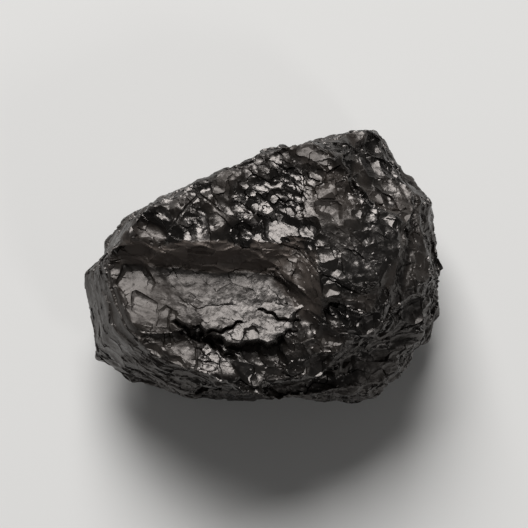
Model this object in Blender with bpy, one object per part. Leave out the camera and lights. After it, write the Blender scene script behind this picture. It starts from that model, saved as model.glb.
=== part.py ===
"""A lump of calcined anthracite, 16 mm long, lying on its broadest parting face.

The lump is one solid. A block is split along its main fracture planes, chips are struck off it
along the bedding, and its skin is then broken into thin beds, shell-shaped scars and hackle.
The shape is worked out in millimetres and brought to metres at the end.
"""

import math

import bmesh
import bpy
from mathutils import Matrix, Vector, noise

MM = 0.001

# Main sizes, in millimetres.
HEIGHT = 9.6
CENTRE = Vector((0.0, 0.0, 0.5 * HEIGHT))
STOCK = 40.0  # the cube that the lump and its chips are cut from
GRAIN = 0.16  # spacing of the points that the skin is broken at
MERGE = 0.02  # points of the finished skin that are nearer than this become one
TRIANGLES = 10200  # before the rest face is cut, which takes a few of them away
SEED = 7
SCATTER = 5.17  # spreads places apart before a random number is drawn for them

# The main fracture planes: compass angle and slope of the outward normal in degrees, distance
# from the lump's centre, and how hackly the plane broke, from 0, smooth, to 1.
# Compass angle 0 is +X and 90 is +Y, and slope 90 faces up.
FRACTURES = {
    "north_wall": (102, 9, 5.5, 0.9),
    "north_west_wall": (118, 9, 5.2, 0.5),
    "north_west_corner": (137, 12, 6.0, 0.8),
    "west_wall": (170, 14, 7.95, 0.6),
    "south_west_wall": (194, 24, 7.05, 0.3),
    "south_west_corner": (228, 20, 6.8, 0.4),
    "south_corner": (246, 6, 6.25, 0.8),
    "south_wall": (-96, -3, 5.7, 0.7),
    "south_east_corner": (-79, 4, 6.1, 0.9),
    "south_east_wall": (-53, 18, 6.5, 0.9),
    "east_wall_lower": (-25, 8, 7.7, 0.6),
    "east_wall_upper": (13, 12, 8.0, 0.9),
    "north_east_corner": (36, 10, 8.1, 1.0),
    "west_undercut": (172, -34, 7.2, 0.7),
    "north_undercut": (104, -30, 5.8, 0.9),
    "east_undercut": (16, -42, 7.6, 0.9),
    "south_undercut": (-72, -40, 6.3, 0.8),
    "south_west_undercut": (226, -40, 7.4, 0.4),
    "underside": (0, -90, 5.7, 0.5),
    "crown": (60, 83, 4.7, 0.9),
    "north_shoulder": (112, 60, 5.7, 1.0),
    "north_east_shoulder": (48, 46, 6.9, 0.9),
    "east_shoulder": (8, 54, 7.3, 1.0),
    "south_crown": (-74, 63, 5.0, 0.8),
    "south_east_shoulder": (-40, 48, 6.4, 0.9),
    "south_shoulder": (-88, 60, 5.6, 0.8),
    "west_shoulder": (176, 50, 6.7, 0.7),
}

# Chips struck off the block. Each is the space between planes, given as compass angle and slope
# of the normal that points into the chip, a point on the plane, and how hackly it broke.
CHIPS = {
    "west_crown": (
        (238, 72, (-4.2, 1.6, 9.0), 0.3),
        (84, -10, (-4.0, 0.2, 8.5), 0.5),
    ),
    "bench": (
        (98, 76, (-2.5, -1.6, 7.8), 0.12),
        (-97, 30, (-2.5, 0.5, 8.8), 0.5),
        (208, 48, (1.9, -1.8, 8.5), 0.6),
    ),
    "lower_ledge": (
        (74, 69, (-2.5, -4.0, 7.75), 0.7),
        (-80, 12, (-2.5, -3.2, 7.6), 0.4),
        (206, 42, (0.9, -4.2, 8.0), 0.8),
    ),
    "east_notch": (
        (30, 62, (7.4, 1.0, 7.1), 0.6),
        (-10, 8, (7.0, 2.0, 8.0), 0.7),
    ),
    "south_east_step": (
        (70, 74, (3.0, -5.3, 5.6), 0.5),
        (-82, 10, (3.0, -4.9, 6.0), 0.8),
        (12, 16, (0.6, -5.5, 6.0), 0.8),
    ),
    "north_step": (
        (110, 70, (-4.5, 4.6, 5.0), 0.3),
        (96, 10, (-3.0, 4.9, 7.0), 0.6),
        (190, 20, (-1.0, 5.0, 6.0), 0.7),
    ),
    "west_spall": (
        (188, 4, (-7.0, 1.0, 3.0), 0.2),
        (120, -30, (-6.5, 1.5, 4.6), 0.6),
    ),
}

# Shell-shaped scars: centre on the skin, radius and depth.
SCARS = (
    ((-2.7, 2.1, 9.4), 0.9, 0.35),
    ((-4.7, 1.1, 8.7), 0.9, 0.30),
    ((-0.9, 0.9, 9.3), 0.8, 0.35),
    ((1.7, -0.1, 9.3), 1.0, 0.40),
    ((3.2, -2.3, 8.4), 0.8, 0.45),
    ((5.2, -3.8, 6.6), 2.3, 0.40),
    ((4.8, 3.4, 9.0), 1.9, 0.25),
    ((7.4, 0.6, 4.4), 2.6, 0.45),
    ((-1.6, 5.2, 4.4), 3.0, 0.60),
    ((-6.8, -1.6, 3.2), 2.4, 0.35),
    ((1.5, -5.4, 3.2), 2.5, 0.50),
)
RIPPLE = 0.5  # spacing of the ripples in a scar
RIPPLE_HEIGHT = 0.03
ON_PLANE = 0.5  # the skin counts as part of a plane that it is about this near to
FACING_POWER = 4  # and faces the same way as, the more so the higher this is
CORNER_HACKLE = 0.8  # how hackly it is where no plane is near

# The bedding: its normal, the mean thickness of a bed, how unevenly thick the beds are, and how
# far one bed stands proud of the next.
BEDDING = (80, 80)
BED = 0.8
BED_UNEVEN = 0.6
BED_STEP = 0.18
BED_PATCH = 3.5  # beds show in patches of about this size
PATCH_SHIFT = Vector((5.0, 1.0, 8.0))  # sets where the patches lie
PATCH_EDGE = 1.6  # how sharply a patch ends

# Hackle is made of small hollow flakes. Each line is the size of a flake, how steeply flakes of
# that size tilt, how deep they are hollowed, and how far one can lie below the next.
HACKLE = (
    (3.2, 0.32, 0.34, 0.50),
    (1.4, 0.17, 0.18, 0.24),
    (0.7, 0.07, 0.09, 0.09),
)
FLATTEN = 0.75  # a flake is this much thinner across the bedding than along it
WARP = 0.35  # how far the beds and the flakes are bent out of line
WARP_SIZE = 1.7  # and over what length
BEND = 0.45  # how far the whole skin is bent, so that no edge or face stays straight
BEND_SIZE = 3.2
NORMAL_PASSES = 4


def direction(compass, slope):
    """The unit vector at this compass angle and slope, in degrees."""
    a, s = math.radians(compass), math.radians(slope)
    return Vector((math.cos(a) * math.cos(s), math.sin(a) * math.cos(s), math.sin(s)))


def chance(place, key):
    """A repeatable random number from 0 to 1. Each key gives another one for the same place."""
    return 0.5 + 0.5 * noise.cell(place * SCATTER + Vector((key, 2.7 * key, -1.3 * key)))


def fracture_planes():
    """(point, outward normal, hackle) of each main fracture plane."""
    found = []
    for compass, slope, distance, hackle in FRACTURES.values():
        normal = direction(compass, slope)
        found.append((CENTRE + distance * normal, normal, hackle))
    return found


def chip_planes(sides):
    """(point, normal out of the lump, hackle) of each side of a chip."""
    return [(Vector(p), direction(c, s), hackle) for c, s, p, hackle in sides]


def cut_off(bm, point, normal):
    """Cuts away what lies on the normal's side of a plane, and closes the cut with one face."""
    everything = bm.verts[:] + bm.edges[:] + bm.faces[:]
    cut = bmesh.ops.bisect_plane(
        bm, geom=everything, dist=1e-5, plane_co=point, plane_no=normal, clear_outer=True
    )
    rim = [g for g in cut["geom_cut"] if isinstance(g, bmesh.types.BMEdge)]
    if rim:
        bmesh.ops.contextual_create(bm, geom=rim)


def convex_block(name, planes):
    """A big cube cut back by planes, each a point and the normal of the side that is cut away."""
    bm = bmesh.new()
    bmesh.ops.create_cube(bm, size=STOCK)
    bmesh.ops.translate(bm, verts=bm.verts, vec=CENTRE)
    for point, normal in planes:
        cut_off(bm, point, normal)
    bmesh.ops.recalc_face_normals(bm, faces=bm.faces)
    mesh = bpy.data.meshes.new(name)
    bm.to_mesh(mesh)
    bm.free()
    return placed(name, mesh)


def placed(name, mesh):
    """A new object in the scene."""
    obj = bpy.data.objects.new(name, mesh)
    bpy.context.scene.collection.objects.link(obj)
    return obj


def settled(obj, name):
    """A new object with the plain mesh that obj's modifiers make. obj itself is removed."""
    bpy.context.view_layer.update()
    graph = bpy.context.evaluated_depsgraph_get()
    mesh = bpy.data.meshes.new_from_object(obj.evaluated_get(graph))
    bpy.data.objects.remove(obj)
    return placed(name, mesh)


def strike(block, name, sides):
    """Takes one chip off the block."""
    chip = convex_block(name, [(point, -normal) for point, normal, _ in chip_planes(sides)])
    chip.hide_render = True
    chip.display_type = "WIRE"
    cut = block.modifiers.new(name, "BOOLEAN")
    cut.operation = "DIFFERENCE"
    cut.object = chip


def rough_block():
    """The block with its chips off, as an even mesh of small faces."""
    block = convex_block("block", [(point, normal) for point, normal, _ in fracture_planes()])
    for name, sides in CHIPS.items():
        strike(block, name, sides)
    block = settled(block, "block")
    for name in CHIPS:
        bpy.data.objects.remove(bpy.data.objects[name])
    remesh = block.modifiers.new("grain", "REMESH")
    remesh.mode = "VOXEL"
    remesh.voxel_size = GRAIN
    return settled(block, "block")


def hackle_at(point, normal, planes):
    """How hackly the skin is here: the value of the plane that the point lies on."""
    total, weight = 0.0, 1e-9
    for origin, outward, hackle in planes:
        facing = max(0.0, normal.dot(outward)) ** FACING_POWER
        share = facing * math.exp(-(((point - origin).dot(outward) / ON_PLANE) ** 2))
        total += hackle * share
        weight += share
    return total / weight if weight > 1e-6 else CORNER_HACKLE


def flakes(point, size, tilt, hollow, drop):
    """Height of a skin of hollow flakes, each with its own tilt and depth, that meet in ridges."""
    bed = direction(*BEDDING)
    across = point.dot(bed)
    stretched = (point + bed * across * (1 / FLATTEN - 1)) / size
    heights = []
    for centre in noise.voronoi(stretched)[1]:
        away = stretched - centre
        lean = Vector([2 * chance(centre, key) - 1 for key in (1, 2, 3)])
        level = chance(centre, 4)
        heights.append(tilt * lean.dot(away) + hollow * away.length_squared - drop * level)
    return min(heights)


def scar_depth(point):
    """Depth of the shell-shaped scars, with ripples that run round their centres."""
    depth = 0.0
    for centre, radius, deep in SCARS:
        r = (point - Vector(centre)).length
        if r < radius:
            share = 1 - (r / radius) ** 2
            depth += deep * share + RIPPLE_HEIGHT * math.cos(2 * math.pi * r / RIPPLE) * share
    return depth


def bed_height(point, normal):
    """Beds of different hardness stand proud or lie back where they come out on a steep face."""
    bed = direction(*BEDDING)
    depth = point.dot(bed) / BED
    depth += BED_UNEVEN * noise.noise(Vector((0.0, 0.0, depth)))
    depth += BED_UNEVEN * noise.noise(point / BED_PATCH)
    proud = 2 * chance(Vector((0.0, 0.0, math.floor(depth))), 5) - 1
    patch = 0.5 + PATCH_EDGE * noise.noise(point / BED_PATCH + PATCH_SHIFT)
    return BED_STEP * proud * min(1.0, max(0.0, patch)) * (1 - abs(normal.dot(bed)))


def steady_normals(mesh):
    """Vertex normals, each averaged with its neighbours, so that sharp corners don't tangle."""
    normals = [vertex.normal.copy() for vertex in mesh.vertices]
    for _ in range(NORMAL_PASSES):
        total = [normal.copy() for normal in normals]
        for edge in mesh.edges:
            a, b = edge.vertices
            total[a] += normals[b]
            total[b] += normals[a]
        normals = [vector.normalized() for vector in total]
    return normals


def break_skin(obj):
    """Moves every point of the skin in or out to its beds, scars and hackle, and bends it all."""
    planes = fracture_planes()
    for sides in CHIPS.values():
        planes += chip_planes(sides)
    moved = []
    for vertex, normal in zip(obj.data.vertices, steady_normals(obj.data)):
        point = vertex.co.copy()
        hackle = hackle_at(point, vertex.normal, planes)
        warped = point + WARP * noise.noise_vector(point / WARP_SIZE)
        height = bed_height(warped, normal) - scar_depth(point)
        for flake in HACKLE:
            height += hackle * flakes(warped, *flake)
        moved.append(point + normal * height + BEND * noise.noise_vector(point / BEND_SIZE))
    for vertex, place in zip(obj.data.vertices, moved):
        vertex.co = place


def thin_out(obj):
    """Keeps the creases and lets flat ground have few faces."""
    obj.modifiers.new("triangles", "TRIANGULATE")
    obj = settled(obj, "thinned")
    decimate = obj.modifiers.new("thin", "DECIMATE")
    decimate.ratio = TRIANGLES / len(obj.data.polygons)
    return settled(obj, "anthracite_lump")


def lay_down(obj):
    """Cuts the lump off flat at z = 0, the surface that it lies on, and centres it over the origin."""
    bm = bmesh.new()
    bm.from_mesh(obj.data)
    cut_off(bm, Vector((0, 0, 0)), Vector((0, 0, -1)))
    bmesh.ops.remove_doubles(bm, verts=bm.verts, dist=MERGE)
    for vertex in bm.verts:
        if vertex.co.z < MERGE:
            vertex.co.z = 0.0
    xs = [vertex.co.x for vertex in bm.verts]
    ys = [vertex.co.y for vertex in bm.verts]
    middle = Vector((0.5 * (min(xs) + max(xs)), 0.5 * (min(ys) + max(ys)), 0.0))
    bmesh.ops.translate(bm, verts=bm.verts, vec=-middle)
    bmesh.ops.recalc_face_normals(bm, faces=bm.faces)
    bm.to_mesh(obj.data)
    bm.free()


def calcined_carbon():
    """Near-black carbon with a dull metallic lustre."""
    material = bpy.data.materials.new("calcined anthracite, broken faces")
    material.use_nodes = True
    shader = material.node_tree.nodes["Principled BSDF"]
    shader.inputs["Base Color"].default_value = (0.045, 0.043, 0.041, 1.0)
    shader.inputs["Metallic"].default_value = 0.7
    shader.inputs["Roughness"].default_value = 0.45
    return material


def main():
    for obj in list(bpy.data.objects):
        bpy.data.objects.remove(obj)
    noise.seed_set(SEED)
    block = rough_block()
    break_skin(block)
    lump = thin_out(block)
    lay_down(lump)
    lump.data.materials.append(calcined_carbon())
    lump.data.transform(Matrix.Scale(MM, 4))


main()
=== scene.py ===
# %% [markdown]
# # A lump of calcined anthracite
# Anthracite is the hardest coal. Calcined, it has been baked without air until its gases are gone,
# and what is left is almost pure carbon: black, brittle, and with the dull lustre of a dark metal.
# It doesn't wear into pebbles. It breaks, so every face on it is a fracture: smooth and flat where
# it parted along its bedding, and hackly, with hundreds of small glinting flakes, where it didn't.
# This lesson dresses the plain solid of one such lump with its real skin, and then lights it.

# %% Load the plain solid
import math

import bmesh
import bpy
import numpy as np
from mathutils import Matrix, Vector


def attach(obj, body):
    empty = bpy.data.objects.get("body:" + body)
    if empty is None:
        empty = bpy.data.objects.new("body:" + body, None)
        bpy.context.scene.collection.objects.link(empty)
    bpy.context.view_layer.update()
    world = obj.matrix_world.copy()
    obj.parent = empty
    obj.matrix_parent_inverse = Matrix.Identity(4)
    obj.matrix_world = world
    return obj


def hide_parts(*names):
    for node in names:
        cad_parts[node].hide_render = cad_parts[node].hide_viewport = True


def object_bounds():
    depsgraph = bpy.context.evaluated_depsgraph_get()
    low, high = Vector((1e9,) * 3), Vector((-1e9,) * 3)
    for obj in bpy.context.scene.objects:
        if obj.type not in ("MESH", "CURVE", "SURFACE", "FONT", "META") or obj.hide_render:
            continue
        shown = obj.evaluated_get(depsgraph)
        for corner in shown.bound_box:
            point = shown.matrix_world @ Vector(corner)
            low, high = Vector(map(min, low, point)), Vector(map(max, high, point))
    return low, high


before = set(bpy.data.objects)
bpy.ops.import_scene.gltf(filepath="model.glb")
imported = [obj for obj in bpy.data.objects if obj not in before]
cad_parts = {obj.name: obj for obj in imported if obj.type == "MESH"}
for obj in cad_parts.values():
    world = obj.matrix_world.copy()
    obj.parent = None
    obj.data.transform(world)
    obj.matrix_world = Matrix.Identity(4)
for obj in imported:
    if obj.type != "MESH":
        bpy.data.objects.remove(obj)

cad_low, cad_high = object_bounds()
MM = 0.001
print("solid, in mm:", [round(side / MM, 2) for side in cad_high - cad_low])

# %% [markdown]
# ## Two helpers
# Every node tree below, for shapes and for materials alike, is built by one function that adds a
# node, sets its properties, and either fills its inputs with numbers or links sockets to them.
# Colours are written as hexadecimal sRGB, as in a picture editor. Shaders add light, which only works
# on linear values, so one function converts them.

# %% Add a node, and read a colour
def add(tree, kind, inputs=(), **settings):
    """Adds a node. Each input gets a value, a link from a socket, or one from a node's first output."""
    node = tree.nodes.new(kind)
    for name, value in settings.items():
        setattr(node, name, value)
    for key, value in inputs.items() if isinstance(inputs, dict) else enumerate(inputs):
        if isinstance(value, bpy.types.Node):
            value = next(socket for socket in value.outputs if socket.enabled)
        if isinstance(value, bpy.types.NodeSocket):
            tree.links.new(value, node.inputs[key])
        else:
            node.inputs[key].default_value = value
    return node


def colour(text):
    """A linear colour with alpha, from sRGB hex such as "#3a3837"."""
    parts = [int(text[i : i + 2], 16) / 255 for i in (1, 3, 5)]
    line = [c / 12.92 if c <= 0.04045 else ((c + 0.055) / 1.055) ** 2.4 for c in parts]
    return (*line, 1.0)


print("middle grey, #808080, is", round(colour("#808080")[0], 3), "in linear light")

# %% [markdown]
# ## A copy to work on
# The solid is only nine thousand loose triangles, so its skin can't hold fine relief. Work starts on
# a copy whose triangles are merged, and the solid itself is left alone. The copy is made a thousand
# times larger, so that one unit is a millimetre, because the Remesh modifier can't make a voxel
# smaller than a tenth of a thousandth of a unit.

# %% Merge a copy of the solid and enlarge it
SAME_POINT = 0.001 * MM


def merged_copy(source, name):
    """A copy of source with its triangles joined, in millimetres."""
    mesh = source.data.copy()
    mesh.name = name
    bm = bmesh.new()
    bm.from_mesh(mesh)
    bmesh.ops.remove_doubles(bm, verts=bm.verts, dist=SAME_POINT)
    bm.to_mesh(mesh)
    bm.free()
    mesh.materials.clear()
    mesh.transform(Matrix.Scale(1 / MM, 4))
    obj = bpy.data.objects.new(name, mesh)
    bpy.context.scene.collection.objects.link(obj)
    return obj


lump = merged_copy(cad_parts["anthracite_lump"], "anthracite_skin")
print("copy:", len(lump.data.vertices), "points,", len(lump.data.polygons), "triangles")

# %% [markdown]
# ## An even skin
# Relief needs points that lie equally close everywhere, whatever the triangles under them. A voxel
# remesh gives that. A modifier only shows a result, so it is settled each time: the mesh that the
# modifiers make becomes the object's own, and the modifiers go.

# %% Remesh
SKIN_SPACING = 0.05  # mm


def settle(obj):
    """Turns what obj's modifiers make into its plain mesh."""
    bpy.context.view_layer.update()
    graph = bpy.context.evaluated_depsgraph_get()
    mesh = bpy.data.meshes.new_from_object(obj.evaluated_get(graph), depsgraph=graph)
    obj.modifiers.clear()
    obj.data = mesh
    mesh.name = obj.name


remesh = lump.modifiers.new("even skin", "REMESH")
remesh.mode = "VOXEL"
remesh.voxel_size = SKIN_SPACING
settle(lump)
print("even skin:", len(lump.data.vertices), "points")

# %% [markdown]
# ## Where it is smooth, hackly or dusty
# A bench parted cleanly along the bedding and stayed almost smooth. The crown and most walls tore
# across it. One number for each point, from 0, smooth, to 1, hackly, steers all the relief below. A
# second number says where a lighter, matt greyish brown is painted in as fill light, which is mostly on
# the face above the bench, where the key lamp's shade falls.
# Both come from short lists of faces: a point belongs to a face if it is near it and turned its way.

# %% List the faces
# Middle and half size of each face, in mm, the direction it faces, and how hackly it is.
PARTING_FACES = {
    "bench": ((-2.6, -1.5, 7.7), (4.6, 1.9, 0.6), (-0.03, 0.20, 0.98), 0.25),
    "ledge": ((-2.2, -4.3, 7.6), (3.4, 1.3, 0.5), (0.05, 0.30, 0.95), 0.60),
    "south_west_wall": ((-6.9, -1.8, 5.3), (2.0, 2.4, 3.2), (-0.89, -0.22, 0.41), 0.35),
    "west_spall": ((-7.4, 0.8, 2.6), (1.4, 2.6, 2.2), (-0.99, -0.14, 0.07), 0.30),
    "north_west_wall": ((-3.6, 4.2, 4.8), (3.4, 2.0, 4.2), (-0.46, 0.87, 0.16), 0.45),
    "crown_front": ((4.3, 0.0, 8.6), (2.2, 1.6, 1.2), (0.15, -0.25, 0.96), 0.50),
    "east_notch": ((7.3, 0.8, 7.1), (1.0, 2.6, 0.9), (0.41, 0.23, 0.88), 0.50),
}
# The same, and how much of a lighter matt brown is painted in there as fill light, mostly where the key
# lamp's shade falls.
PAINTED_FILL_FACES = {
    "riser": ((-2.4, -0.2, 8.3), (4.6, 1.0, 1.1), (-0.10, -0.86, 0.50), 1.0),
    "riser_end": ((1.6, -1.6, 8.2), (1.3, 1.6, 1.0), (-0.59, -0.31, 0.74), 0.35),
    "crown_back": ((3.2, 2.6, 9.0), (1.3, 1.0, 0.8), (0.06, 0.10, 0.99), 0.12),
}
print("parting faces:", len(PARTING_FACES), "and dusty ones:", len(PAINTED_FILL_FACES))

# %% [markdown]
# ## Painting without a picture
# The numbers are stored with the points, as attributes, so no picture has to be wrapped round the
# lump. Both trees and materials can read them by name. Numpy handles all the points at once, and each
# face fades out at its border and where the surface turns away, so that no line shows.

# %% Paint the faces
BORDER = 0.25  # the share of a face's half size over which its number fades out
LEAST_TURN, TURN_FADE = 0.70, 0.15  # the cosine at which a point starts to belong, and its fade


def positions(mesh):
    """Where each point is, one row a point."""
    place = np.empty(len(mesh.vertices) * 3, np.float32)
    mesh.vertices.foreach_get("co", place)
    return place.reshape(-1, 3)


def paint(mesh, name, faces, elsewhere):
    """Stores one number for each point: elsewhere's, or that of the face that the point belongs to."""
    place = positions(mesh)
    facing = np.empty(place.size, np.float32)
    mesh.vertex_normals.foreach_get("vector", facing)
    facing = facing.reshape(-1, 3)
    painted = np.full(len(place), elsewhere, np.float32)
    for middle, half, way, value in faces.values():
        reach = np.abs((place - np.array(middle)) / np.array(half)).max(axis=1)
        inside = np.clip((1.0 - reach) / BORDER, 0, 1)
        turned = np.clip((facing @ np.array(way) - LEAST_TURN) / TURN_FADE, 0, 1)
        painted += (value - elsewhere) * inside * turned
    attribute = mesh.attributes.new(name, "FLOAT", "POINT")
    attribute.data.foreach_set("value", np.clip(painted, 0, 1))
    print(name, "is", round(float(painted.mean()), 2), "on average")


paint(lump.data, "hackle", PARTING_FACES, elsewhere=1.0)
# Painted fill light: a lighter matt brown on faces in the key lamp's shade, chiefly the face above the
# bench.
paint(lump.data, "painted_fill_share", PAINTED_FILL_FACES, elsewhere=0.0)

# %% [markdown]
# ## How the lump grew
# Coal is laid down in beds, and splits more easily along them than across them. Its flakes are also
# longest one way. Two directions, used by the relief and by the material, say how this lump lay.

# %% Name the rock's directions
BEDDING = Vector((0.03, 0.17, 0.985)).normalized()
GRAIN = Vector((0.82, -0.57, 0.0)).normalized()
print("the bedding leans", round(math.degrees(BEDDING.angle(Vector((0, 0, 1)))), 1), "degrees")

# %% [markdown]
# ## Bright and dull carbon
# Coal is banded. Bright bands, once the wood in the coal, are glossy and blackest. Dull bands between
# them are rougher and a shade browner. The bands are a noise that only changes across the bedding.
# They are broken up by a second noise, in all directions, because no band runs on for ever.

# %% Mark the dull bands
BAND, DULL_PATCH = 0.6 * MM, 3.0 * MM  # thickness of a band, width of a dull patch
DULL_FROM, DULL_TO = 0.85, 1.2  # of the two noises together, where it turns dull


def dullness(tree, place):
    """A node that gives 0 on bright carbon and 1 on dull carbon."""
    across = add(tree, "ShaderNodeVectorMath", (place, BEDDING), operation="DOT_PRODUCT")
    bands = add(
        tree, "ShaderNodeTexNoise", {"W": across, "Scale": 1 / BAND, "Detail": 2.0},
        noise_dimensions="1D",
    )
    patches = add(tree, "ShaderNodeTexNoise", {"Vector": place, "Scale": 1 / DULL_PATCH, "Detail": 3.0})
    both = add(tree, "ShaderNodeMath", (bands, patches), operation="ADD")
    return add(tree, "ShaderNodeMapRange", (both, DULL_FROM, DULL_TO, 0.0, 1.0))


print("bands are", round(BAND / MM, 2), "mm thick")
print("dull patches are", round(DULL_PATCH / MM, 2), "mm wide")

# %% [markdown]
# ## Glints
# Each flake of carbon is a small mirror, and many are too small to model. A Voronoi texture gives
# each of them a random colour, and that colour, taken as a direction, turns the surface's normal a
# little. That is where the pinpoint glints come from. The real ones go down to a few thousandths of a
# millimetre. Those are too fine to show, so the drawn ones are coarser. On a parting face they turn it
# less, and low dimples, drawn by a bump, mottle its shine instead.

# %% Turn the normal
FLECK = 0.12 * MM
FLECK_BEND, FLECK_WAVE = 0.25 * MM, 0.5 * MM  # how far and how often the flecks' borders bend
PARTED, TORN = 0.1, 1.0  # the hackle at which a face counts as smooth, and as rough
FLECK_TURN = (0.07, 0.15)  # on a smooth face and on a rough one
DIMPLE, DIMPLE_DEPTH, DIMPLE_STRENGTH = 0.40 * MM, 0.06 * MM, 0.8
DIMPLES_FADE = (0.2, 0.7)  # the hackle where dimples start to fade, and where they are gone
GRIT, GRIT_DEPTH, GRIT_STRENGTH = 0.10 * MM, 0.02 * MM, 0.6
HALF = (0.5, 0.5, 0.5)


def glinting_normal(tree, place, hackle):
    """A node that gives the normal of the flecks, dimples and grit at a place."""
    wave = add(tree, "ShaderNodeTexNoise", {"Vector": place, "Scale": 1 / FLECK_WAVE, "Detail": 2.0})
    wave = add(tree, "ShaderNodeVectorMath", (wave.outputs["Color"], HALF), operation="SUBTRACT")
    wave = add(tree, "ShaderNodeVectorMath", {0: wave, "Scale": FLECK_BEND}, operation="SCALE")
    bent = add(tree, "ShaderNodeVectorMath", (place, wave), operation="ADD")
    flecks = add(tree, "ShaderNodeTexVoronoi", {"Vector": bent, "Scale": 1 / FLECK})
    lean = add(tree, "ShaderNodeVectorMath", (flecks.outputs["Color"], HALF), operation="SUBTRACT")
    much = add(tree, "ShaderNodeMapRange", (hackle, PARTED, TORN, *FLECK_TURN))
    turned = add(tree, "ShaderNodeVectorMath", {0: lean, "Scale": much}, operation="SCALE")

    dimples = add(tree, "ShaderNodeTexNoise", {"Vector": place, "Scale": 1 / DIMPLE, "Detail": 1.0})
    smooth = add(tree, "ShaderNodeMapRange", (hackle, *DIMPLES_FADE, DIMPLE_STRENGTH, 0.0))
    inputs = {"Height": dimples, "Strength": smooth, "Distance": DIMPLE_DEPTH}
    bump = add(tree, "ShaderNodeBump", inputs)
    grit = add(tree, "ShaderNodeTexNoise", {"Vector": place, "Scale": 1 / GRIT, "Detail": 4.0})
    inputs = {"Height": grit, "Strength": GRIT_STRENGTH, "Distance": GRIT_DEPTH, "Normal": bump}
    bump = add(tree, "ShaderNodeBump", inputs)
    leaning = add(tree, "ShaderNodeVectorMath", (bump, turned), operation="ADD")
    return add(tree, "ShaderNodeVectorMath", (leaning,), operation="NORMALIZE")


print("flecks, dimples and grit, in mm:", [round(size / MM, 2) for size in (FLECK, DIMPLE, GRIT)])

# %% [markdown]
# ## The carbon itself
# Calcined anthracite is neither a metal nor an ordinary stone. It lets no light in, so almost
# nothing comes back from inside it, and a clean face mirrors about a sixteenth of what falls on it,
# which an IOR of 1.65 gives. Its reflections are a trace warm. The inside of a crack is matt. Mostly
# where the key lamp's shade falls on the face above the bench, and faintly on the back of the crown, a
# lighter greyish brown is painted in as fill light, and it is matt too, so both take over from the
# lustre where they are present.

# %% Make the material
BRIGHT_ROUGH, DULL_ROUGH = 0.26, 0.44
SATIN = 0.12  # added on a parting face, which shines more softly than the flakes
PAINTED_FILL_ROUGH = 0.6


def carbon():
    """Calcined anthracite as it breaks: black, with a broken metallic lustre, and never evenly lit."""
    material = bpy.data.materials.new("calcined anthracite, fracture faces")
    material.use_nodes = True
    tree = material.node_tree
    tree.nodes.clear()
    place = add(tree, "ShaderNodeTexCoord").outputs["Object"]
    hackle, crack, painted_fill_share = (
        add(tree, "ShaderNodeAttribute", attribute_name=name).outputs["Fac"]
        for name in ("hackle", "crack", "painted_fill_share")
    )
    dull = dullness(tree, place)
    black = {0: dull, 6: colour("#0b0a09"), 7: colour("#1f1a16")}
    black = add(tree, "ShaderNodeMix", black, data_type="RGBA")
    # Painted fill light: a lighter greyish brown mixed in where the face lies in the key lamp's shade.
    painted_fill = add(tree, "ShaderNodeMix", {0: painted_fill_share, 6: black, 7: colour("#5c534d")}, data_type="RGBA")

    rough = add(tree, "ShaderNodeMapRange", (dull, 0.0, 1.0, BRIGHT_ROUGH, DULL_ROUGH))
    satin = add(tree, "ShaderNodeMapRange", (hackle, PARTED, TORN, SATIN, 0.0))
    rough = add(tree, "ShaderNodeMath", (rough, satin), operation="ADD")
    rough = add(tree, "ShaderNodeMath", (rough, crack), operation="MAXIMUM")
    # Where the fill light is painted in, the surface is also matt.
    matt = add(tree, "ShaderNodeMapRange", (painted_fill_share, 0.0, 1.0, 0.0, PAINTED_FILL_ROUGH))
    rough = add(tree, "ShaderNodeMath", (rough, matt), operation="MAXIMUM")

    inputs = {
        "Base Color": painted_fill,
        "Roughness": rough,
        "IOR": 1.65,
        "Specular Tint": colour("#fff6f0"),
        "Normal": glinting_normal(tree, place, hackle),
    }
    shader = add(tree, "ShaderNodeBsdfPrincipled", inputs)
    add(tree, "ShaderNodeOutputMaterial", {"Surface": shader})
    return material


coal = carbon()
print(coal.name, "has", len(coal.node_tree.nodes), "nodes")

# %% [markdown]
# ## Trees for shapes
# Relief that repeats and follows the surface is work for Geometry Nodes. Each tree here gets named
# inputs, and the one that makes the object ends by realizing instances and setting the material. A
# modifier's inputs are set through each socket's identifier, which stays the same if a socket is
# renamed. The geometry has to be the first input, because a modifier feeds its mesh to that one.

# %% Build a tree and run it
def start_tree(name, wants, gives):
    """A new geometry tree and its inputs. wants and gives map the sockets' names to their kinds."""
    tree = bpy.data.node_groups.new(name, "GeometryNodeTree")
    for label, kind in wants.items():
        tree.interface.new_socket(label, in_out="INPUT", socket_type="NodeSocket" + kind)
    for label, kind in gives.items():
        tree.interface.new_socket(label, in_out="OUTPUT", socket_type="NodeSocket" + kind)
    return tree, add(tree, "NodeGroupInput").outputs


def finish_tree(tree, given, shape):
    """Ends a tree that makes a whole object."""
    whole = add(tree, "GeometryNodeRealizeInstances", (shape,))
    finished = add(tree, "GeometryNodeSetMaterial", {"Geometry": whole, "Material": given["Material"]})
    add(tree, "NodeGroupOutput", (finished,))


def run_tree(obj, tree, values):
    """Puts a tree on obj as a modifier, fills in its inputs, and keeps the mesh that it makes."""
    modifier = obj.modifiers.new(tree.name, "NODES")
    modifier.node_group = tree
    values = dict(values, Material=coal)
    for socket in tree.interface.items_tree:
        if socket.in_out == "INPUT" and socket.name in values:
            modifier[socket.identifier] = values[socket.name]
    settle(obj)
    print(tree.name + ":", len(tree.nodes), "nodes made", len(obj.data.vertices), "points")


def blurred(tree, value, passes):
    """A node that averages a vector with its neighbours', this many times."""
    return add(
        tree, "GeometryNodeBlurAttribute", {"Value": value, "Iterations": passes},
        data_type="FLOAT_VECTOR",
    )


print("ready to build trees for", lump.name)

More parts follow.
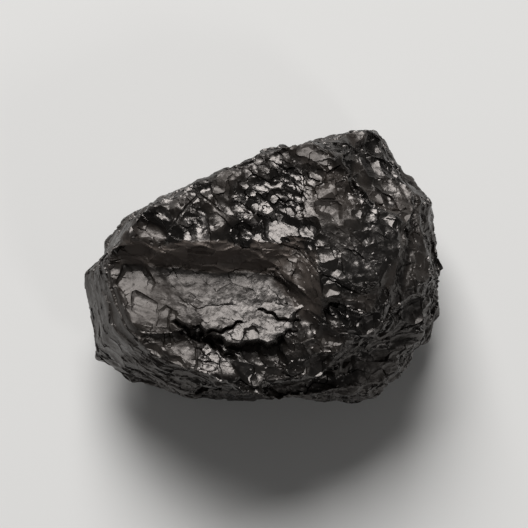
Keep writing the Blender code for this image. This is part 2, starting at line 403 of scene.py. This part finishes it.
# %% [markdown]
# ## Ease the solid's triangles away
# The solid's own triangles would show through the relief as a low-polygon pattern, so they are
# blurred away first: a little everywhere, and a lot on the parting faces. The tree also drops the
# loose crumbs that the remesh leaves where two walls nearly touch.

# %% Ease the skin
EASE_INPUTS = {"Passes": 3, "Passes where parted": 50}
CRUMB_POINTS = 500.0  # anything with fewer points is a crumb


def ease_tree():
    """The tree that blurs the skin and drops its crumbs."""
    wants = {"Geometry": "Geometry", "Material": "Material"}
    wants.update({name: "Int" for name in EASE_INPUTS})
    tree, given = start_tree("ease", wants, {"Geometry": "Geometry"})
    here = add(tree, "GeometryNodeInputPosition")
    hackle = add(tree, "GeometryNodeInputNamedAttribute", {"Name": "hackle"}, data_type="FLOAT")
    torn, parted = (blurred(tree, here, given[name]) for name in EASE_INPUTS)
    away = add(tree, "ShaderNodeVectorMath", (torn, parted), operation="SUBTRACT")
    away = add(tree, "ShaderNodeVectorMath", {0: away, "Scale": hackle}, operation="SCALE")
    eased = add(tree, "ShaderNodeVectorMath", (parted, away), operation="ADD")
    shape = add(tree, "GeometryNodeSetPosition", {"Geometry": given["Geometry"], "Position": eased})

    island = add(tree, "GeometryNodeInputMeshIsland").outputs["Island Index"]
    points = add(
        tree, "GeometryNodeAccumulateField", {"Value": 1.0, "Group ID": island},
        data_type="FLOAT", domain="POINT",
    ).outputs["Total"]
    crumb = add(tree, "FunctionNodeCompare", (points, CRUMB_POINTS), operation="LESS_THAN")
    inputs = {"Geometry": shape, "Selection": crumb}
    kept = add(tree, "GeometryNodeDeleteGeometry", inputs, domain="POINT")
    finish_tree(tree, given, kept)
    return tree


run_tree(lump, ease_tree(), EASE_INPUTS)

# %% [markdown]
# ## The front of the bench
# The bed that forms the bench didn't break off straight. A thin tongue of it still reaches out over
# the ledge below. It can be made from the skin that is there: the points under its outline are
# lifted to the bench's own plane, which leaves a small cliff all round it. Numpy does that in a few
# lines, because it is one place on the lump, and not a pattern.

# %% Leave a tongue of the bench
# Corners seen from above and counterclockwise, and a point where it joins the bench, in mm.
TONGUE = ((-2.8, -2.3), (-2.6, -3.8), (-0.9, -4.25), (0.6, -4.05), (1.4, -3.4), (1.6, -2.3))
TONGUE_ROOT = (-0.6, -2.3)
THICKEST = 1.0  # mm, points that would rise more than this stay where they are
TONGUE_HACKLE = 0.3
WANDER = 0.09  # mm, how far a broken line strays from its course
SLOW_WAVE, QUICK_WAVE = 4, 11  # radians to a millimetre
RAGGED = 1.5  # how many times farther the tongue's edge strays


def stray(run):
    """How far a broken line strays sideways, a run of mm along it. The quick wave is half as high."""
    return WANDER * np.sin(SLOW_WAVE * run) + 0.5 * WANDER * np.sin(QUICK_WAVE * run)


def skin_point(place, x, y):
    """The highest point of the skin near x, y."""
    near = place[np.hypot(place[:, 0] - x, place[:, 1] - y) < 2 * SKIN_SPACING]
    return near[near[:, 2].argmax()]


def leave_tongue(place):
    """Lifts the points under the tongue to the bench's own plane, and tells which they are."""
    facing = np.array(PARTING_FACES["bench"][2])
    lift = (skin_point(place, *TONGUE_ROOT) - place) @ facing / facing[2]
    inside = (lift > 0) & (lift < THICKEST)
    for start, end in zip(TONGUE, TONGUE[1:] + TONGUE[:1]):
        along = np.subtract(end, start) / math.dist(start, end)
        away = place[:, :2] - start
        inside &= along[0] * away[:, 1] - along[1] * away[:, 0] > RAGGED * stray(away @ along)
    place[inside, 2] += lift[inside]
    print("tongue:", inside.sum(), "points, lifted by up to", round(float(lift[inside].max()), 2), "mm")
    return inside


skin = positions(lump.data)
hackle = np.empty(len(skin), np.float32)
lump.data.attributes["hackle"].data.foreach_get("value", hackle)
tongue = leave_tongue(skin)
hackle[tongue] = np.minimum(hackle[tongue], TONGUE_HACKLE)

# %% [markdown]
# ## Flakes that catch the light
# A few dozen flakes are much larger and flatter than the rest, and they are what one knows this lump
# by. Each left a shallow bed with a flat floor and steep sides. Most floors lean back, away from the
# viewer, and flash. A few lean forward, and those are dark patches. They are listed one by one, because
# their places matter more than those of the small ones.

# %% List the large flakes
# Where each flake came off, seen from above, its length and width, in mm, and which way it leans.
FLAKES = {
    "crown, middle": (1.0, 0.6, 1.8, 1.1, "back"),
    "crown, beside the middle": (1.9, 0.5, 0.9, 0.6, "back"),
    "crown, under the middle": (0.0, 0.3, 0.9, 0.6, "back"),
    "crown, over the middle": (1.0, 1.7, 0.9, 0.5, "back"),
    "crown, above the middle": (-0.3, 1.9, 0.6, 0.4, "back"),
    "crown, inner left": (0.6, 2.4, 0.9, 0.5, "back"),
    "crown, left": (-2.1, 2.5, 1.3, 0.8, "back"),
    "crown, far left": (-4.6, 1.4, 0.9, 0.6, "back"),
    "crown, back": (2.2, 3.2, 0.7, 0.5, "back"),
    "crown, back streak": (2.1, 4.0, 1.6, 0.9, "back"),
    "crown, inner right": (4.3, 1.6, 0.6, 0.4, "back"),
    "crown, right": (5.2, 2.6, 0.7, 0.4, "back"),
    "crown, lower right": (5.7, 1.3, 0.9, 0.45, "back"),
    "crown, back right": (5.2, 4.0, 1.1, 0.8, "back"),
    "crown, right edge": (6.5, 1.5, 0.8, 0.45, "back"),
    "crown, front": (2.9, -0.6, 1.5, 1.2, "forward"),
    "crown, dark hollow": (4.3, 0.9, 1.6, 0.9, "forward"),
    "crown, dark back": (2.6, 2.3, 1.5, 0.8, "forward"),
    "flank, top": (3.1, -2.1, 1.2, 0.5, "back"),
    "flank, low": (3.1, -4.2, 1.1, 0.6, "back"),
    "flank, lower": (4.8, -3.6, 0.9, 0.55, "back"),
    "flank, end": (7.1, -2.85, 1.0, 0.8, "back"),
    "flank, corner": (2.6, -5.4, 1.0, 0.6, "back"),
    "flank, foot": (3.9, -5.0, 0.8, 0.4, "back"),
    "ledge, left": (-3.9, -5.0, 0.9, 0.5, "back"),
    "ledge, far left": (-4.9, -4.5, 0.9, 0.5, "back"),
    "ledge, dark middle": (-0.8, -4.9, 1.6, 0.8, "forward"),
    "ledge, dark right": (0.3, -5.1, 1.4, 0.8, "forward"),
    "bench, lip": (-0.6, -3.6, 0.9, 0.45, "back"),
    "bench, left end": (-5.7, -1.4, 1.9, 1.3, "back"),
    "bench, left low": (-5.3, -2.3, 1.6, 0.9, "back"),
    "bench, left bottom": (-4.3, -2.7, 0.9, 0.6, "back"),
}
for way in ("back", "forward"):
    print("floors that lean", way + ":", sum(flake[-1] == way for flake in FLAKES.values()))

# %% [markdown]
# ## Which way a flake's floor faces
# A floor flashes if it faces about half way between the lamp and the eye, so that is how the ones
# that lean back are aimed. A unit vector at a compass angle and a height says which way something
# faces. The same function hangs the lamps later on.

# %% Aim the floors
# Compass angle and height of the way that each kind of floor faces, in degrees.
FLOORS = {"back": (103, 71), "forward": (-70, 72)}


def direction(compass, height):
    """The unit vector at this compass angle and height, in degrees. 0 is +X and 90 is +Y."""
    c, h = math.radians(compass), math.radians(height)
    return np.array((math.cos(c) * math.cos(h), math.sin(c) * math.cos(h), math.sin(h)))


for way, angles in FLOORS.items():
    print("floors that lean", way, "face", np.round(direction(*angles), 2))

# %% [markdown]
# ## Strike them off
# A chip is the space between a floor and six sides. Every point of the skin inside it moves to the
# nearest of those planes, which leaves all the edges sharp. A fixed seed turns each chip, and moves its
# sides, a little, so that no two look alike and every run gives the same ones.

# %% Strike off the large flakes
COMPASS_SPREAD, HEIGHT_SPREAD = 6, 3  # degrees
SIDES = 6
SIDE_FLARE = math.radians(35)  # how far the sides lean outward
SIDE_REACH = (0.6, 1.2)  # how near or far a side may be, against a regular chip's
SINK = 0.05  # mm, how deep the middle of a floor lies
FLAKE_HACKLE = 0.4
FLAKE_SEED = 9


def strike(place, x, y, length, width, way, dice):
    """Moves the points inside one chip to its planes, and tells which they are."""
    compass, height = FLOORS[way]
    floor = direction(compass + dice.normal(0, COMPASS_SPREAD), height + dice.normal(0, HEIGHT_SPREAD))
    along = np.array(GRAIN) - floor * (np.array(GRAIN) @ floor)
    along /= np.linalg.norm(along)
    beside = np.cross(floor, along)
    away = place - (skin_point(place, x, y) - SINK * floor)
    depth = [away @ floor]
    move = [-floor]
    for turn in np.arange(SIDES) * 2 * math.pi / SIDES + dice.uniform(0, 1):
        c, s = math.cos(turn), math.sin(turn)
        side = (c * along + s * beside) * math.cos(SIDE_FLARE) - floor * math.sin(SIDE_FLARE)
        reach = 0.5 * math.hypot(c * length, s * width) * dice.uniform(*SIDE_REACH)
        depth.append(reach * math.cos(SIDE_FLARE) - away @ side)
        move.append(side)
    depth, move = np.array(depth), np.array(move)
    deep = depth.min(axis=0)
    inside = (deep > 0) & (np.linalg.norm(away, axis=1) < length)
    place[inside] += deep[inside, None] * move[depth.argmin(axis=0)[inside]]
    return inside


dice = np.random.default_rng(FLAKE_SEED)
struck = 0
for x, y, length, width, way in FLAKES.values():
    bed = strike(skin, x, y, length, width, way, dice)
    hackle[bed] = np.minimum(hackle[bed], FLAKE_HACKLE)
    struck += bed.sum()
print("flakes:", len(FLAKES), "struck off, which moved", struck, "points")

# %% [markdown]
# ## Open cracks
# Three cracks in the bench and the ledge are wide enough to see into. Each is a V-shaped groove along
# a line that wanders a little, and it closes at both ends.

# %% Open the cracks
# The two ends of each open crack, seen from above, and its width and depth, in mm.
CRACKS = {
    "across the ledge": ((-4.1, -3.1), (-1.2, -4.7), 0.22, 0.32),
    "under the bench": ((-2.9, -3.8), (-0.9, -3.2), 0.16, 0.30),
    "bench, right": ((-0.3, -2.6), (1.6, -3.2), 0.14, 0.20),
}
TOP_REACH = 0.9  # mm, how far below its middle a crack still cuts


def open_crack(place, start, end, width, depth):
    """Presses a groove into the upper side, along a line that wanders a little."""
    start, end = np.array(start), np.array(end)
    length = np.linalg.norm(end - start)
    along = (end - start) / length
    away = place[:, :2] - start
    run = away @ along
    aside = away @ np.array((-along[1], along[0])) - stray(run)
    share = np.clip(1 - np.abs(aside) / (0.5 * width), 0, 1)
    share *= np.clip(np.minimum(run, length - run) / width, 0, 1)
    top = skin_point(place, *(start + end) / 2)[2]
    share[place[:, 2] < top - TOP_REACH] = 0
    place[:, 2] -= depth * share


for crack in CRACKS.values():
    open_crack(skin, *crack)
lump.data.vertices.foreach_set("co", skin.ravel())
lump.data.attributes["hackle"].data.foreach_set("value", hackle)
print("open cracks:", ", ".join(CRACKS))

# %% [markdown]
# ## The ground for the relief
# Coal splits along its bedding, so the small flakes on it are flat, and they are longest along the
# grain. Instead of stretching the flakes, a node group squashes the ground that they are laid out
# on. It bends that ground a little first, because no ridge on a broken stone is straight. Each part
# of the relief is a node group of its own, made by a function that names its sockets.

# %% Lay out the ground
BENDS = 0.55  # to a millimetre


def ground_group():
    """Where a point is on ground that is bent, and has more across the bedding, less along the grain."""
    wants = {"Bend": "Float", "Squash": "Float", "Stretch": "Float"}
    tree, given = start_tree("ground", wants, {"Place": "Vector", "Across": "Float"})
    here = add(tree, "GeometryNodeInputPosition")
    wave = add(tree, "ShaderNodeTexNoise", {"Vector": here, "Scale": BENDS, "Detail": 2.0})
    wave = add(tree, "ShaderNodeVectorMath", (wave.outputs["Color"], HALF), operation="SUBTRACT")
    wave = add(tree, "ShaderNodeVectorMath", {0: wave, "Scale": given["Bend"]}, operation="SCALE")
    bent = add(tree, "ShaderNodeVectorMath", (here, wave), operation="ADD")
    across = add(tree, "ShaderNodeVectorMath", (bent, BEDDING), operation="DOT_PRODUCT")
    extra = add(tree, "ShaderNodeMath", (across, given["Squash"]), operation="MULTIPLY")
    push = add(tree, "ShaderNodeVectorMath", {0: BEDDING, "Scale": extra}, operation="SCALE")
    thick = add(tree, "ShaderNodeVectorMath", (bent, push), operation="ADD")
    along = add(tree, "ShaderNodeVectorMath", (bent, GRAIN), operation="DOT_PRODUCT")
    spare = add(tree, "ShaderNodeMath", (along, given["Stretch"]), operation="MULTIPLY")
    pull = add(tree, "ShaderNodeVectorMath", {0: GRAIN, "Scale": spare}, operation="SCALE")
    place = add(tree, "ShaderNodeVectorMath", (thick, pull), operation="SUBTRACT")
    add(tree, "NodeGroupOutput", {"Place": place, "Across": across})
    return tree


ground = ground_group()
print(ground.name + ":", len(ground.nodes), "nodes")

# %% [markdown]
# ## Small flakes
# Hackle is a skin of small flakes. Where one flake ends and the next begins there is a sharp ridge,
# and each flake leans its own way, so at any moment only a few of them send the light to the eye.
# That pattern repeats over the whole lump and follows its surface. A Voronoi texture hands out cells.
# For each cell near a point, the group works out the height of a leaning, slightly hollow flake, and
# keeps the lowest one, which is what makes the ridges. The coarse shells take the two nearest cells
# of two sets, one shifted against the other, and the finer steps take only the nearest cell.

# %% The height of one layer of flakes
CELL_SETS = ((0.0, 0.0, 0.0), (11.3, 5.9, 8.2))  # shifts, in mm


def cell_values(tree, place, cell):
    """Nodes for a cell's lean at a place, the squared distance from its middle, and its level."""
    away = add(tree, "ShaderNodeVectorMath", (place, cell.outputs["Position"]), operation="SUBTRACT")
    random = cell.outputs["Color"]
    inputs = (random, (2, 2, 2), (-1, -1, -1))
    way = add(tree, "ShaderNodeVectorMath", inputs, operation="MULTIPLY_ADD")
    slope = add(tree, "ShaderNodeVectorMath", (away, way), operation="DOT_PRODUCT")
    square = add(tree, "ShaderNodeVectorMath", (away, away), operation="DOT_PRODUCT")
    level = add(tree, "ShaderNodeSeparateXYZ", (random,)).outputs["Y"]
    return slope, square, level


def flake_group(name, shifts, features):
    """The height, in mm, of one layer of flakes at a place."""
    wants = {"Place": "Vector", "Size": "Float", "Lean": "Float", "Hollow": "Float", "Drop": "Float"}
    tree, given = start_tree(name, wants, {"Height": "Float"})
    density = add(tree, "ShaderNodeMath", (1.0, given["Size"]), operation="DIVIDE")
    depth = add(tree, "ShaderNodeMath", (given["Drop"], given["Size"]), operation="MULTIPLY")
    bowl = add(tree, "ShaderNodeMath", (given["Hollow"], density), operation="MULTIPLY")
    lowest = None
    for shift in shifts:
        place = add(tree, "ShaderNodeVectorMath", (given["Place"], shift), operation="ADD")
        inputs = {"Vector": place, "Scale": density}
        for feature in features:
            cell = add(tree, "ShaderNodeTexVoronoi", inputs, feature=feature)
            slope, square, level = cell_values(tree, place, cell)
            sunk = add(tree, "ShaderNodeMath", (level, depth), operation="MULTIPLY")
            hollow = add(tree, "ShaderNodeMath", (square, bowl), operation="MULTIPLY")
            tilted = (slope, given["Lean"], hollow)
            height = add(tree, "ShaderNodeMath", tilted, operation="MULTIPLY_ADD")
            height = add(tree, "ShaderNodeMath", (height, sunk), operation="SUBTRACT")
            if lowest:
                height = add(tree, "ShaderNodeMath", (lowest, height), operation="MINIMUM")
            lowest = height
    add(tree, "NodeGroupOutput", (lowest,))
    return tree


shells = flake_group("shells", CELL_SETS, ("F1", "F2"))
steps = flake_group("steps", CELL_SETS[:1], ("F1",))
print("shells:", len(shells.nodes), "nodes, steps:", len(steps.nodes), "nodes")

# %% [markdown]
# ## Beds
# Coal grew layer by layer, and each layer has its own hardness. Where they come out on a steep face,
# some stand a few hundredths of a millimetre proud and their neighbours lie back, so walls look like
# the edge of a closed book. They show in patches, and not at all on faces that lie along them.

# %% The height of the beds
FLAT, STEEP = 0.9, 0.4  # the cosine to the bedding of a face without beds, and of one full of them
BED_PATCHES = 0.35  # to a millimetre
PATCH_EDGE = (0.42, 0.58)  # the values of a noise between which a patch starts and is complete


def bed_group():
    """The height, in mm, of the beds on a face, from how far across the bedding it is."""
    wants = {"Across": "Float", "Outward": "Vector", "Thickness": "Float", "Step": "Float"}
    tree, given = start_tree("beds", wants, {"Height": "Float"})
    here = add(tree, "GeometryNodeInputPosition")
    facing = add(tree, "ShaderNodeVectorMath", (given["Outward"], BEDDING), operation="DOT_PRODUCT")
    facing = add(tree, "ShaderNodeMath", (facing,), operation="ABSOLUTE")
    steep = add(tree, "ShaderNodeMapRange", (facing, FLAT, STEEP, 0.0, 1.0))
    depth = add(tree, "ShaderNodeMath", (given["Across"], given["Thickness"]), operation="DIVIDE")
    layer = add(tree, "ShaderNodeMath", (depth,), operation="FLOOR")
    proud = add(tree, "ShaderNodeTexWhiteNoise", {"W": layer}, noise_dimensions="1D").outputs["Value"]
    patch = add(tree, "ShaderNodeTexNoise", {"Vector": here, "Scale": BED_PATCHES, "Detail": 1.0})
    patch = add(tree, "ShaderNodeMapRange", (patch, *PATCH_EDGE, 0.0, 1.0))
    share = add(tree, "ShaderNodeMath", (steep, patch), operation="MULTIPLY")
    proud = add(tree, "ShaderNodeMath", (proud, given["Step"]), operation="MULTIPLY")
    height = add(tree, "ShaderNodeMath", (proud, share), operation="MULTIPLY")
    add(tree, "NodeGroupOutput", (height,))
    return tree


beds = bed_group()
print(beds.name + ":", len(beds.nodes), "nodes")

# %% [markdown]
# ## Hairline cracks
# As its gases leave in the oven, the coal shrinks and hairline cracks open. They run like the borders
# of big cells, and most of each border stays closed, so a slow noise lets only some of it through.

# %% Where the hairlines are open
CRACK_SHIFT = (3.0, 0.0, 0.0)  # mm, sets which borders cross the bench
OPENINGS = 0.25  # to a millimetre
OPENING_EDGE = (0.48, 0.58)


def hairline_group():
    """How open a crack is at a place, from 0, closed, to 1, its deepest line."""
    wants = {"Place": "Vector", "Spacing": "Float", "Width": "Float"}
    tree, given = start_tree("hairlines", wants, {"Open": "Float"})
    here = add(tree, "GeometryNodeInputPosition")
    density = add(tree, "ShaderNodeMath", (1.0, given["Spacing"]), operation="DIVIDE")
    shifted = add(tree, "ShaderNodeVectorMath", (given["Place"], CRACK_SHIFT), operation="ADD")
    inputs = {"Vector": shifted, "Scale": density}
    border = add(tree, "ShaderNodeTexVoronoi", inputs, feature="DISTANCE_TO_EDGE")
    near = add(tree, "ShaderNodeMath", (border, given["Spacing"]), operation="MULTIPLY")
    inputs = (near, 0.0, given["Width"], 1.0, 0.0)
    groove = add(tree, "ShaderNodeMapRange", inputs, interpolation_type="SMOOTHSTEP")
    stretch = add(tree, "ShaderNodeTexNoise", {"Vector": here, "Scale": OPENINGS, "Detail": 0.0})
    stretch = add(tree, "ShaderNodeMapRange", (stretch, *OPENING_EDGE, 0.0, 1.0))
    crack = add(tree, "ShaderNodeMath", (groove, stretch), operation="MULTIPLY")
    add(tree, "NodeGroupOutput", (crack,))
    return tree


hairlines = hairline_group()
print(hairlines.name + ":", len(hairlines.nodes), "nodes")

# %% [markdown]
# ## Three layers of flakes
# Broken carbon shows flakes of every size, each one broken into smaller ones. Three layers, from
# coarse to fine, are added up. Each has clean and busy patches of its own, because no real fracture
# is equally rough all over, and the sum is scaled by how hackly the place is.

# %% Add up the layers
PATCHES = 0.45  # to a millimetre


def hackly_height(tree, given, place, here):
    """A node that gives the height, in mm, of the three layers of flakes."""
    patches = add(tree, "ShaderNodeTexNoise", {"Vector": here, "Scale": PATCHES, "Detail": 2.0})
    patches = add(tree, "ShaderNodeSeparateXYZ", (patches.outputs["Color"],)).outputs
    height = None
    for grade, flakes, patch in (("Coarse", shells, 0), ("Medium", steps, 1), ("Fine", steps, 2)):
        sizes = {name: given[grade + " " + name.lower()] for name in ("Size", "Lean")}
        sizes.update(Place=place, Hollow=given["Hollow"], Drop=given["Drop"])
        layer = add(tree, "GeometryNodeGroup", sizes, node_tree=flakes)
        share = add(tree, "ShaderNodeMapRange", (patches[patch], *PATCH_EDGE, given["Clean"], 1.0))
        layer = add(tree, "ShaderNodeMath", (layer, share), operation="MULTIPLY")
        height = add(tree, "ShaderNodeMath", (height, layer), operation="ADD") if height else layer
    hackle = add(tree, "GeometryNodeInputNamedAttribute", {"Name": "hackle"}, data_type="FLOAT")
    height = add(tree, "ShaderNodeMath", (height, hackle), operation="MULTIPLY")
    return add(tree, "ShaderNodeClamp", (height, given["Lowest"], given["Highest"]))


print("patches are", round(1 / PATCHES, 1), "mm wide")

# %% [markdown]
# ## No loose nibs
# Where several layers rise at one point, a thin nib stands out much farther than its surroundings. On
# a real lump it would have broken off. This step compares each point with a blurred copy of the skin,
# and pushes it back if it stands too far out.

# %% Push back the nibs
NIB_PASSES = 14


def push_back_nibs(tree, shape, here, outward, longest):
    """A node that moves the points back that stand out farther than longest."""
    around = blurred(tree, here, NIB_PASSES)
    stands = add(tree, "ShaderNodeVectorMath", (here, around), operation="SUBTRACT")
    far = add(tree, "ShaderNodeVectorMath", (stands,), operation="LENGTH").outputs["Value"]
    out = add(tree, "ShaderNodeVectorMath", (stands, outward), operation="DOT_PRODUCT")
    outside = add(tree, "FunctionNodeCompare", (out, 0.0), operation="GREATER_THAN")
    spare = add(tree, "ShaderNodeMath", (longest, far), operation="SUBTRACT")
    spare = add(tree, "ShaderNodeMath", (spare, 0.0), operation="MINIMUM")
    share = add(tree, "ShaderNodeMath", (spare, far), operation="DIVIDE")
    back = add(tree, "ShaderNodeVectorMath", {0: stands, "Scale": share}, operation="SCALE")
    moved = {"Geometry": shape, "Selection": outside, "Offset": back}
    return add(tree, "GeometryNodeSetPosition", moved)


print("a point is compared with the skin up to", round(NIB_PASSES * SKIN_SPACING, 2), "mm round it")

# %% [markdown]
# ## The sizes of the relief
# All the numbers of the relief stand in one list and become inputs of its tree, so that another lump
# only needs another list. Heights are small: the relief adds little more than a tenth of a millimetre
# anywhere, and takes away a few tenths at most.

# %% Set the sizes
# Sizes, heights and distances are in mm. Leans are slopes, and the rest are shares.
RELIEF_INPUTS = {
    "Bend": 0.5,
    "Squash": 0.35,
    "Stretch": 0.4,
    "Coarse size": 1.5,
    "Coarse lean": 0.24,
    "Medium size": 0.70,
    "Medium lean": 0.32,
    "Fine size": 0.30,
    "Fine lean": 0.20,
    "Hollow": 0.30,
    "Drop": 0.12,
    "Clean": 0.2,
    "Highest": 0.06,
    "Lowest": -0.28,
    "Bed thickness": 0.36,
    "Bed step": 0.08,
    "Crack spacing": 5.0,
    "Crack width": 0.05,
    "Crack depth": 0.10,
    "Fade height": 0.5,
    "Longest nib": 0.05,
}
print("flakes, in mm:", [RELIEF_INPUTS[grade + " size"] for grade in ("Coarse", "Medium", "Fine")])

# %% [markdown]
# ## The relief tree
# Now the parts are put together: flakes, beds, and hairline cracks. Their sum moves each point along
# the surface's normal, which is averaged over a little ground, so that the points beside a sharp
# edge don't fly apart. Near the rest face the relief fades to nothing, so that the lump lies flat.

# %% Build the relief
STEADY_PASSES = 10


def relief_tree():
    """The tree that gives the skin its small flakes, beds and hairlines."""
    wants = {"Geometry": "Geometry", "Material": "Material"}
    wants.update({name: "Float" for name in RELIEF_INPUTS})
    tree, given = start_tree("fracture relief", wants, {"Geometry": "Geometry"})
    here = add(tree, "GeometryNodeInputPosition")
    steady = blurred(tree, add(tree, "GeometryNodeInputNormal"), STEADY_PASSES)
    outward = add(tree, "ShaderNodeVectorMath", (steady,), operation="NORMALIZE")
    sizes = {name: given[name] for name in ("Bend", "Squash", "Stretch")}
    place, across = add(tree, "GeometryNodeGroup", sizes, node_tree=ground).outputs

    height = hackly_height(tree, given, place, here)
    sizes = {"Thickness": given["Bed thickness"], "Step": given["Bed step"]}
    sizes.update(Across=across, Outward=outward)
    layers = add(tree, "GeometryNodeGroup", sizes, node_tree=beds)
    height = add(tree, "ShaderNodeMath", (height, layers), operation="ADD")
    sizes = {"Place": place, "Spacing": given["Crack spacing"], "Width": given["Crack width"]}
    crack = add(tree, "GeometryNodeGroup", sizes, node_tree=hairlines)
    sunk = add(tree, "ShaderNodeMath", (crack, given["Crack depth"]), operation="MULTIPLY")
    height = add(tree, "ShaderNodeMath", (height, sunk), operation="SUBTRACT")

    up = add(tree, "ShaderNodeSeparateXYZ", (here,)).outputs["Z"]
    fade = add(tree, "ShaderNodeMapRange", {"Value": up, "From Max": given["Fade height"]})
    height = add(tree, "ShaderNodeMath", (height, fade), operation="MULTIPLY")
    offset = add(tree, "ShaderNodeVectorMath", {0: outward, "Scale": height}, operation="SCALE")
    inputs = {"Geometry": given["Geometry"], "Name": "crack", "Value": crack}
    shape = add(tree, "GeometryNodeStoreNamedAttribute", inputs, data_type="FLOAT", domain="POINT")
    shape = add(tree, "GeometryNodeSetPosition", {"Geometry": shape, "Offset": offset})
    shape = push_back_nibs(tree, shape, here, outward, given["Longest nib"])
    finish_tree(tree, given, shape)
    return tree


run_tree(lump, relief_tree(), RELIEF_INPUTS)

# %% [markdown]
# ## Fewer triangles
# An even skin spends as many triangles on a flat floor as on a ridge. A Decimate modifier takes them
# away where the skin is flat and leaves them where it is creased, so the lump keeps its look and
# stays light enough to share.

# %% Thin the skin
SKIN_TRIANGLES = 190_000


def thin_out(obj, triangles):
    """Collapses the skin to this many triangles. Each of its faces counts as two."""
    thin = obj.modifiers.new("thin", "DECIMATE")
    thin.ratio = min(1.0, triangles / (2 * len(obj.data.polygons)))
    thin.use_collapse_triangulate = True
    settle(obj)


thin_out(lump, SKIN_TRIANGLES)
print("thinned skin:", len(lump.data.vertices), "points,", len(lump.data.polygons), "triangles")

# %% [markdown]
# ## Flat on the table, and of its real size
# The lowest points are laid exactly on the plane that the lump rests on, and the skin shrinks back to
# its real size. Edges that turn by more than 20 degrees stay sharp, and the rest is shaded smooth, so
# that the flakes' floors look flat and their borders crisp.

# %% Shrink it to its real size
REST_BAND = 0.04  # mm, points below this height belong to the rest face
SHARP_EDGE = 20  # degrees


def lay_flat(mesh):
    """Presses the lowest points onto z = 0, and counts them."""
    place = positions(mesh)
    low = place[:, 2] < REST_BAND
    place[low, 2] = 0.0
    mesh.vertices.foreach_set("co", place.ravel())
    return int(low.sum())


print("points on the rest face:", lay_flat(lump.data))
lump.data.transform(Matrix.Scale(MM, 4))
lump.data.set_sharp_from_angle(angle=math.radians(SHARP_EDGE))
lump.data.shade_smooth()
print("finished skin, in mm:", np.round(np.ptp(positions(lump.data), axis=0) / MM, 2))

# %% [markdown]
# ## Dressing the solid
# A lump of rock has no moving parts, so its one piece stays with the root.

# %% Dress the solid with it
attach(lump, "root")
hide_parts("anthracite_lump")
print(lump.name, "stands in for anthracite_lump")

# %% [markdown]
# ## The table
# A black thing needs a plain ground to stand out from. This is a sheet of uncoated white paper,
# which scatters light evenly and has no shine, wide enough to fill any view.

# %% Make the floor
FLOOR_HALF = 0.6  # m
FLOOR_DROP = 0.02 * MM  # keeps the paper just clear of the rest face


def pale_paper():
    """Uncoated paper: a soft, even white with no highlights."""
    material = bpy.data.materials.new("matt white paper")
    material.use_nodes = True
    shader = material.node_tree.nodes["Principled BSDF"]
    shader.inputs["Base Color"].default_value = colour("#dddcda")
    shader.inputs["Roughness"].default_value = 0.8
    return material


def sheet(name, half, level):
    """A square sheet at this level."""
    mesh = bpy.data.meshes.new(name)
    corners = [(-half, -half, level), (half, -half, level), (half, half, level), (-half, half, level)]
    mesh.from_pydata(corners, [], [(0, 1, 2, 3)])
    mesh.materials.append(pale_paper())
    obj = bpy.data.objects.new(name, mesh)
    bpy.context.scene.collection.objects.link(obj)
    return obj


floor = sheet("floor", FLOOR_HALF, -FLOOR_DROP)
print("floor:", 2 * FLOOR_HALF, "m wide")

# %% [markdown]
# ## Light
# Black, shiny things are lit by what they reflect. One large soft lamp stands behind the lump and
# well above it, so that the faces that lean back, away from the viewer, catch it, and the faces that
# lean forward stay black. A small, weak one in front, on the viewer's right, picks out flakes on that
# flank, and a dim even sky keeps the shadows from closing.

# %% Hang the lamps
SKY = 0.065  # strength of an even white sky


def lamp(name, compass, height, distance, size, power):
    """A square soft lamp aimed at the lump, from a compass angle and a height in degrees."""
    data = bpy.data.lights.new(name, "AREA")
    data.size = size
    data.energy = power
    obj = bpy.data.objects.new(name, data)
    bpy.context.scene.collection.objects.link(obj)
    way = Vector(direction(compass, height))
    obj.location = way * distance
    obj.rotation_euler = (-way).to_track_quat("-Z", "Y").to_euler()
    print(name, "lamp:", power, "W,", size, "m wide,", distance, "m away")


lamp("key", compass=100, height=46, distance=0.55, size=0.31, power=4.0)
lamp("kicker", compass=312, height=40, distance=0.5, size=0.08, power=0.16)

world = bpy.data.worlds.new("studio")
world.use_nodes = True
world.node_tree.nodes["Background"].inputs["Color"].default_value = (1, 1, 1, 1)
world.node_tree.nodes["Background"].inputs["Strength"].default_value = SKY
bpy.context.scene.world = world
bpy.context.scene.view_settings.view_transform = "Standard"
print("sky: white, at a strength of", SKY)

# %% [markdown]
# ## Camera
# The viewer looks down on the lump almost from straight above, from a long way off for its size, so
# the lens is long and the walls hardly show.

# %% Set up the camera
VIEW_HEIGHT = 80.4  # degrees above the table
LENS = 250  # mm
DISTANCE = 0.165  # m
CLIP = (0.01, 5.0)  # m


def look(aim):
    """Makes the scene's camera, and aims it."""
    data = bpy.data.cameras.new("camera")
    data.lens = LENS
    data.clip_start, data.clip_end = CLIP
    obj = bpy.data.objects.new("camera", data)
    bpy.context.scene.collection.objects.link(obj)
    h = math.radians(VIEW_HEIGHT)
    back = Vector((0, -math.cos(h), math.sin(h)))
    obj.location = aim + back * DISTANCE
    obj.rotation_euler = (-back).to_track_quat("-Z", "Y").to_euler()
    bpy.context.scene.camera = obj
    print("camera:", [round(c / MM, 1) for c in obj.location], "in mm, looking at the lump's middle")


look(aim=(cad_low + cad_high) / 2)
